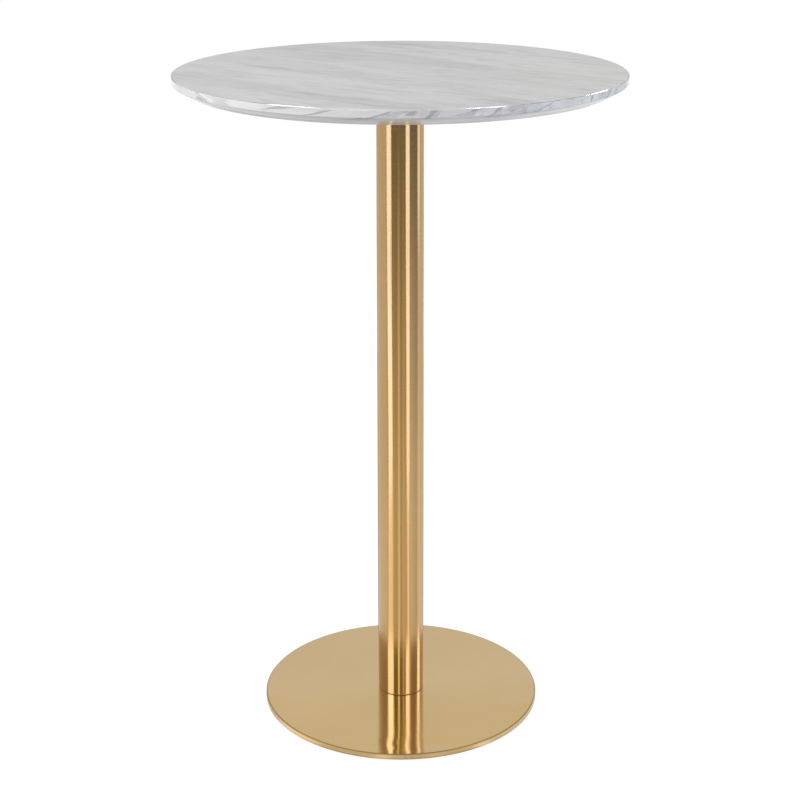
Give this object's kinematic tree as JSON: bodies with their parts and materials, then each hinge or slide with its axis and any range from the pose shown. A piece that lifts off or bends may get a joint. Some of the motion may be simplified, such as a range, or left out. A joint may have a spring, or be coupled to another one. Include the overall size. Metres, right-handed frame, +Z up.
{
  "type": "round bar table",
  "caption": "Tall round bar table: marble-look top with an undercut edge on a polished gold column and a flat weighted disc base with levelling glides.",
  "frame": {"origin": "on the floor, under the middle of the column", "axes": "+Z up along the column, +X to the right and +Y away from the viewer in the picture"},
  "size_m": [0.7, 0.7, 1.065],
  "materials": {
    "marble_foil": "lacquered light grey marble-look foil",
    "board": "fibreboard",
    "backing": "plain backing sheet",
    "insert_brass": "turned brass",
    "black_steel": "black powder coat",
    "zinc_steel": "zinc plate",
    "plain_steel": "turned steel",
    "gold_tube": "polished gold-tone stainless steel",
    "gold_sheet": "finely turned gold-tone stainless steel",
    "pad_plastic": "moulded black plastic"
  },
  "bodies": {
    "table": {"marble_foil": "marble_foil", "top_core": "board", "backing_sheet": "backing", "threaded_inserts": "insert_brass", "mounting_plate": "black_steel", "mounting_screws": "zinc_steel", "mounting_washers": "zinc_steel", "column_tube": "gold_tube", "head_plug": "plain_steel", "head_bolts": "zinc_steel", "foot_plug": "plain_steel", "base_bolts": "zinc_steel", "base_cover": "gold_sheet", "base_weight": "black_steel"},
    "pad_1": {"glide_pad_1": "pad_plastic"},
    "stem_1": {"glide_stem_1": "zinc_steel"},
    "pad_2": {"glide_pad_2": "pad_plastic"},
    "stem_2": {"glide_stem_2": "zinc_steel"},
    "pad_3": {"glide_pad_3": "pad_plastic"},
    "stem_3": {"glide_stem_3": "zinc_steel"},
    "pad_4": {"glide_pad_4": "pad_plastic"},
    "stem_4": {"glide_stem_4": "zinc_steel"}
  },
  "joints": [
    {"name": "pad_1_travel", "type": "slide", "parent": "table", "child": "pad_1", "axis": [0, 0, -1], "range_m": [0, 0.004]},
    {"name": "stem_1_turn", "type": "hinge", "parent": "pad_1", "child": "stem_1", "pos_m": [0.13435, 0.13435, 0.006], "axis": [0, 0, -1], "range_deg": [0, 1155]},
    {"name": "pad_2_travel", "type": "slide", "parent": "table", "child": "pad_2", "axis": [0, 0, -1], "range_m": [0, 0.004]},
    {"name": "stem_2_turn", "type": "hinge", "parent": "pad_2", "child": "stem_2", "pos_m": [-0.13435, 0.13435, 0.006], "axis": [0, 0, -1], "range_deg": [0, 1155]},
    {"name": "pad_3_travel", "type": "slide", "parent": "table", "child": "pad_3", "axis": [0, 0, -1], "range_m": [0, 0.004]},
    {"name": "stem_3_turn", "type": "hinge", "parent": "pad_3", "child": "stem_3", "pos_m": [-0.13435, -0.13435, 0.006], "axis": [0, 0, -1], "range_deg": [0, 1155]},
    {"name": "pad_4_travel", "type": "slide", "parent": "table", "child": "pad_4", "axis": [0, 0, -1], "range_m": [0, 0.004]},
    {"name": "stem_4_turn", "type": "hinge", "parent": "pad_4", "child": "stem_4", "pos_m": [0.13435, -0.13435, 0.006], "axis": [0, 0, -1], "range_deg": [0, 1155]}
  ],
  "couplings": [
    {"joint": "stem_1_turn", "follows": "pad_1_travel", "rad_per_m": 5026.5},
    {"joint": "stem_2_turn", "follows": "pad_2_travel", "rad_per_m": 5026.5},
    {"joint": "stem_3_turn", "follows": "pad_3_travel", "rad_per_m": 5026.5},
    {"joint": "stem_4_turn", "follows": "pad_4_travel", "rad_per_m": 5026.5}
  ]
}
